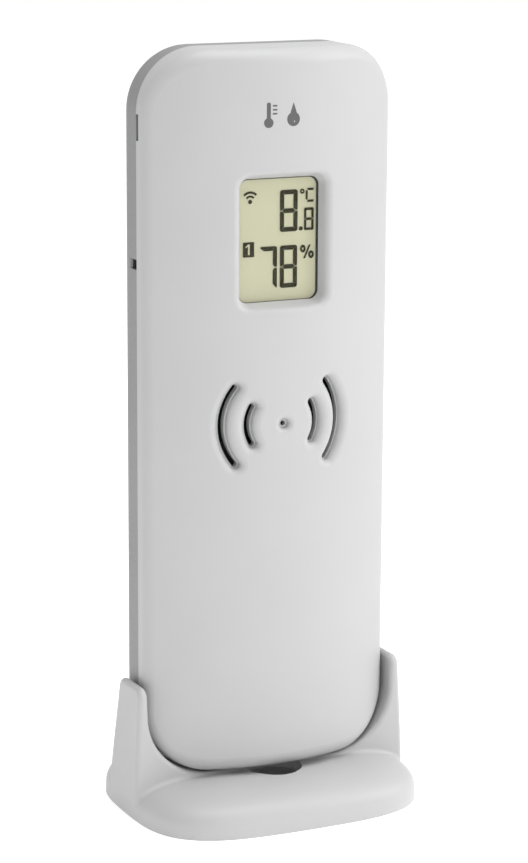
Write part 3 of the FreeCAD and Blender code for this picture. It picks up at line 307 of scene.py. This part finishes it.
# ---------------------------------------------------------------- outlines and thin pieces
def thin_piece(name, outlines, front, depth, material):
    """Outlines in the X-Z plane, in mm, as thin solids. front(x) is the y of the front side."""
    mesh = bpy.data.meshes.new(name)
    build = bmesh.new()
    for outline in outlines:
        near = [build.verts.new((x * MM, front(x) * MM, z * MM)) for x, z in outline]
        far = [build.verts.new((x * MM, (front(x) + depth) * MM, z * MM)) for x, z in outline]
        build.faces.new(near)
        build.faces.new(list(reversed(far)))
        for index in range(len(outline)):
            following = (index + 1) % len(outline)
            build.faces.new((near[following], near[index], far[index], far[following]))
    bmesh.ops.recalc_face_normals(build, faces=build.faces)
    build.to_mesh(mesh)
    build.free()
    mesh.materials.append(material)
    piece = bpy.data.objects.new(name, mesh)
    scene.collection.objects.link(piece)
    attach(piece, "sensor")


def plate(name, outlines, y, depth, material):
    """A flat thin piece."""
    thin_piece(name, outlines, lambda x: y, depth, material)


def rectangle(x0, x1, z0, z1):
    return [(x0, z0), (x1, z0), (x1, z1), (x0, z1)]


def disc(x, z, radius, steps=20):
    turns = [2 * math.pi * step / steps for step in range(steps)]
    return [(x + radius * math.cos(turn), z + radius * math.sin(turn)) for turn in turns]


def arc_band(x, z, radius, width, start, end, steps=14):
    """A curved stroke between two angles in degrees."""
    outer = []
    inner = []
    for step in range(steps + 1):
        turn = math.radians(start + (end - start) * step / steps)
        outer.append((x + (radius + width / 2) * math.cos(turn), z + (radius + width / 2) * math.sin(turn)))
        inner.append((x + (radius - width / 2) * math.cos(turn), z + (radius - width / 2) * math.sin(turn)))
    return outer + list(reversed(inner))


def ring(x, z, radius, width, stretch=1.0, steps=12):
    """A closed oval stroke, as two halves."""
    halves = []
    for start in (-90, 90):
        band = arc_band(0, 0, radius, width, start, start + 180, steps)
        halves.append([(x + px, z + pz * stretch) for px, pz in band])
    return halves


def seven_segments(letters, place, stroke, gap):
    """Mitred segments that fill a box. The letters name the segments that are on."""
    x0, x1, z0, z1 = place
    mid = (z0 + z1) / 2
    half = stroke / 2
    nick = stroke * NICK
    tip = gap * MIDDLE_TIP
    shoulder = gap * MIDDLE_SHOULDER
    near_x = x0 + stroke
    far_x = x1 - stroke
    shapes = {
        "a": [(x0 + gap + nick, z1), (x1 - gap - nick, z1), (x1 - gap, z1 - nick),
              (far_x - gap / 2, z1 - stroke), (near_x + gap / 2, z1 - stroke), (x0 + gap, z1 - nick)],
        "d": [(x0 + gap + nick, z0), (x0 + gap, z0 + nick), (near_x + gap / 2, z0 + stroke),
              (far_x - gap / 2, z0 + stroke), (x1 - gap, z0 + nick), (x1 - gap - nick, z0)],
        "f": [(x0, z1 - gap - nick), (x0 + nick * SHORT_NICK, z1 - gap), (near_x, z1 - stroke - gap / 2),
              (near_x, mid + half + gap / 2), (x0 + half, mid + gap / 2), (x0, mid + gap)],
        "e": [(x0, z0 + gap + nick), (x0, mid - gap), (x0 + half, mid - gap / 2),
              (near_x, mid - half - gap / 2), (near_x, z0 + stroke + gap / 2),
              (x0 + nick * SHORT_NICK, z0 + gap)],
        "g": [(x0 + half + tip, mid), (near_x + shoulder, mid + half), (far_x - shoulder, mid + half),
              (x1 - half - tip, mid), (far_x - shoulder, mid - half), (near_x + shoulder, mid - half)],
    }
    for left, right in (("f", "b"), ("e", "c")):
        shapes[right] = [(x0 + x1 - x, z) for x, z in shapes[left]]
    return [shapes[letter] for letter in letters]


# ---------------------------------------------------------------- display
def from_panel_middle(outlines):
    """Moves outlines that count from the middle of the panel to their place in the frame."""
    low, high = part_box("lcd_panel")
    middle_x = (low.x + high.x) / 2 / MM
    middle_z = (low.z + high.z) / 2 / MM
    return [[(middle_x + x, middle_z + z) for x, z in outline] for outline in outlines]


def glyph(name, outlines):
    plate(name, from_panel_middle(outlines), GLYPH_Y, GLYPH_DEPTH, LCD_INK)


def draw_radio_sign():
    shapes = [disc(*RADIO_PLACE, RADIO_DOT)]
    for radius, stroke, start in RADIO_WAVES:
        shapes.append(arc_band(*RADIO_PLACE, radius, stroke, start, 180 - start))
    glyph("glyph_radio", shapes)


def draw_temperature():
    shapes = seven_segments(EIGHT, DEGREES_DIGIT, LARGE_STROKE, LARGE_GAP)
    shapes += seven_segments(EIGHT, TENTHS_DIGIT, SMALL_STROKE, SMALL_GAP)
    shapes.append(disc(*POINT_PLACE, POINT_RADIUS))
    glyph("glyph_temperature", shapes)


def draw_degree_sign():
    x0, x1 = LETTER_C_X
    z0, low, high, z1 = LETTER_C_Z
    outer, inner = LETTER_C_INSET
    shapes = ring(*RING_PLACE, RING_RADIUS, RING_STROKE)
    shapes.append(rectangle(x0, x0 + LETTER_C_STEM, low + LETTER_C_GAP, high))
    shapes.append([(x0 + inner, high), (x1, high), (x1, z1), (x0 + outer, z1)])
    shapes.append([(x0 + inner, low), (x0 + outer, z0), (x1, z0), (x1, low)])
    glyph("glyph_degree", shapes)


def draw_channel():
    glyph("glyph_channel_box", [rectangle(*CHANNEL_BOX)])
    tip, left, right = ONE_X
    foot, flag_low, flag_high, notch, head = ONE_Z
    stem = rectangle(left, right, foot, head)
    flag = [(left, head), (tip, flag_high), (tip, flag_low), (left, notch)]
    # the number takes the film's material, painted glow included
    plate("glyph_channel_number", from_panel_middle([stem, flag]), GLYPH_Y - GLYPH_DEPTH / 2,
          GLYPH_DEPTH / 2, LCD_FILM_WITH_PAINTED_LIGHT)


def draw_humidity():
    shapes = seven_segments(SEVEN, HUMIDITY_TENS, LARGE_STROKE, LARGE_GAP)
    shapes += seven_segments(EIGHT, HUMIDITY_ONES, LARGE_STROKE, LARGE_GAP)
    glyph("glyph_humidity", shapes)


def draw_percent_sign():
    shapes = []
    for x, z in PERCENT_RINGS:
        shapes += ring(x, z, PERCENT_RADIUS, PERCENT_STROKE, PERCENT_STRETCH)
    x0, x1 = PERCENT_BAR_X
    z0, z1 = PERCENT_BAR_Z
    shapes.append([(x0, z0), (x0 + PERCENT_BAR_WIDTH, z0), (x1 + PERCENT_BAR_WIDTH, z1), (x1, z1)])
    glyph("glyph_percent", shapes)


def draw_film():
    """The pale film behind the glyphs, with a painted glow that evens out the shade of the window's rim."""
    low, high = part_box("lcd_panel")
    sheet = rectangle(low.x / MM + FILM_INSET_X, high.x / MM - FILM_INSET_X,
                      low.z / MM + FILM_INSET_Z, high.z / MM - FILM_INSET_Z)
    # painted light: the film glows though no lamp lights the display
    glow(LCD_FILM_WITH_PAINTED_LIGHT, FILM_PAINTED_LIGHT_COLOUR, FILM_PAINTED_LIGHT)
    plate("lcd_film_with_painted_light", [sheet], FILM_Y, FILM_DEPTH, LCD_FILM_WITH_PAINTED_LIGHT)


def half_border(side, steps=8):
    """Half of a band between a rounded opening and a plain rectangle round it."""
    x0, x1, z0, z1 = EDGE_SHADE_PRINT_INNER
    middle = (x0 + x1) / 2
    edge = x1 if side > 0 else x0
    outside = EDGE_SHADE_PRINT_OUTER[1] if side > 0 else EDGE_SHADE_PRINT_OUTER[0]
    below, above = EDGE_SHADE_PRINT_OUTER[2:]
    corner_x = edge - side * EDGE_SHADE_PRINT_CORNER
    path = [(middle, z0)]
    for corner_z, start in ((z0 + EDGE_SHADE_PRINT_CORNER, -90), (z1 - EDGE_SHADE_PRINT_CORNER, 0)):
        for step in range(steps + 1):
            turn = math.radians(start + 90 * step / steps)
            path.append((corner_x + side * EDGE_SHADE_PRINT_CORNER * math.cos(turn),
                         corner_z + EDGE_SHADE_PRINT_CORNER * math.sin(turn)))
    path.append((middle, z1))
    return path + [(middle, above), (outside, above), (outside, below), (middle, below)]


# painted shade: the dark lens border stands in for the shadow between the film and the window rim
def draw_edge_shade_print():
    border = from_panel_middle([half_border(side) for side in (-1, 1)])
    plate("lens_edge_shade_print", border, EDGE_SHADE_PRINT_Y, GLYPH_DEPTH, PRINT_AND_SHADE_INK)


# painted shade: a dark sheet in each side air slot stands in for the shade inside the slot
def shade_air_slots():
    for side, name in ((-1, "slot_shade_left"), (1, "slot_shade_right")):
        x0, x1 = sorted((side * SLOT_SHADE_X[0], side * SLOT_SHADE_X[1]))
        plate(name, [rectangle(x0, x1, *SLOT_SHADE_Z)], SLOT_SHADE_Y, SLOT_SHADE_DEPTH, SLOT_SHADE_LOOK)


# ---------------------------------------------------------------- print on the front face
def printed(name, outlines):
    """Thin ink shapes that follow the curved front face. The outlines count from PRINT_X and PRINT_Z."""
    placed = [[(PRINT_X + x, PRINT_Z + z) for x, z in outline] for outline in outlines]

    def under_ink(x):
        return FACE_FRONT_Y + FACE_RADIUS - math.sqrt(FACE_RADIUS ** 2 - x ** 2) - INK_HEIGHT

    thin_piece(name, placed, under_ink, 2 * INK_HEIGHT, PRINT_AND_SHADE_INK)


def print_thermometer():
    tube_low, tube_high = TUBE_Z
    shapes = [disc(TUBE_X, BULB_Z, BULB_RADIUS)]
    shapes.append(rectangle(TUBE_X - TUBE_RADIUS, TUBE_X + TUBE_RADIUS, tube_low, tube_high))
    shapes.append(disc(TUBE_X, tube_high, TUBE_RADIUS))
    for tick in TICK_Z:
        shapes.append(rectangle(*TICK_X, tick, tick + TICK_HEIGHT))
    printed("print_thermometer", shapes)


def print_drop(steps=18):
    """A water drop: a round bottom and a pointed top."""
    x, z = DROP_PLACE
    outline = [(x, z + DROP_HEIGHT)]
    for step in range(steps + 1):
        turn = math.radians(DROP_SWEEP / 2 - DROP_SWEEP * step / steps - 90)
        outline.append((x - DROP_RADIUS * math.cos(turn), z + DROP_RADIUS * math.sin(turn)))
    printed("print_drop", [outline])


# ---------------------------------------------------------------- floor, light, camera
def lay_floor():
    bpy.ops.mesh.primitive_plane_add(size=FLOOR_SIZE, location=(0, 0, FLOOR_Z))
    floor = bpy.context.object
    floor.name = "floor"
    floor.data.materials.append(FLOOR_LOOK)


def make_sky():
    """An even white sky that is weaker on the left."""
    world = bpy.data.worlds.new("studio")
    world.use_nodes = True
    tree = world.node_tree
    background = tree.nodes["Background"]
    background.inputs["Color"].default_value = (1, 1, 1, 1)
    place = tree.nodes.new("ShaderNodeTexCoord")
    parts = tree.nodes.new("ShaderNodeSeparateXYZ")
    tree.links.new(place.outputs["Generated"], parts.inputs["Vector"])
    tree.links.new(span(tree, parts.outputs["X"], (-1.0, 1.0), SKY), background.inputs["Strength"])
    scene.world = world


def soft_light(name, place, target, width, height, power):
    data = bpy.data.lights.new(name, "AREA")
    data.shape = "RECTANGLE"
    data.size = width
    data.size_y = height
    data.energy = power
    lamp = bpy.data.objects.new(name, data)
    lamp.location = place
    lamp.rotation_euler = (Vector(target) - Vector(place)).to_track_quat("-Z", "Y").to_euler()
    scene.collection.objects.link(lamp)


def set_camera():
    data = bpy.data.cameras.new("camera")
    data.sensor_fit = "AUTO"
    data.sensor_width = SENSOR_WIDTH
    data.lens = LENS
    camera = bpy.data.objects.new("camera", data)
    columns = (CAMERA_RIGHT, CAMERA_UP, CAMERA_BACK, CAMERA_PLACE)
    rows = [[column[axis] for column in columns] for axis in range(3)]
    camera.matrix_world = Matrix((*rows, (0, 0, 0, 1)))
    scene.collection.objects.link(camera)
    scene.camera = camera
    scene.view_settings.view_transform = "Standard"


dress_the_cad_pieces()
draw_radio_sign()
draw_temperature()
draw_degree_sign()
draw_channel()
draw_humidity()
draw_percent_sign()
draw_film()
draw_edge_shade_print()
shade_air_slots()
print_thermometer()
print_drop()

glow_round_the_foot()
lay_floor()
make_sky()
for light in LIGHTS:
    soft_light(*light)
set_camera()
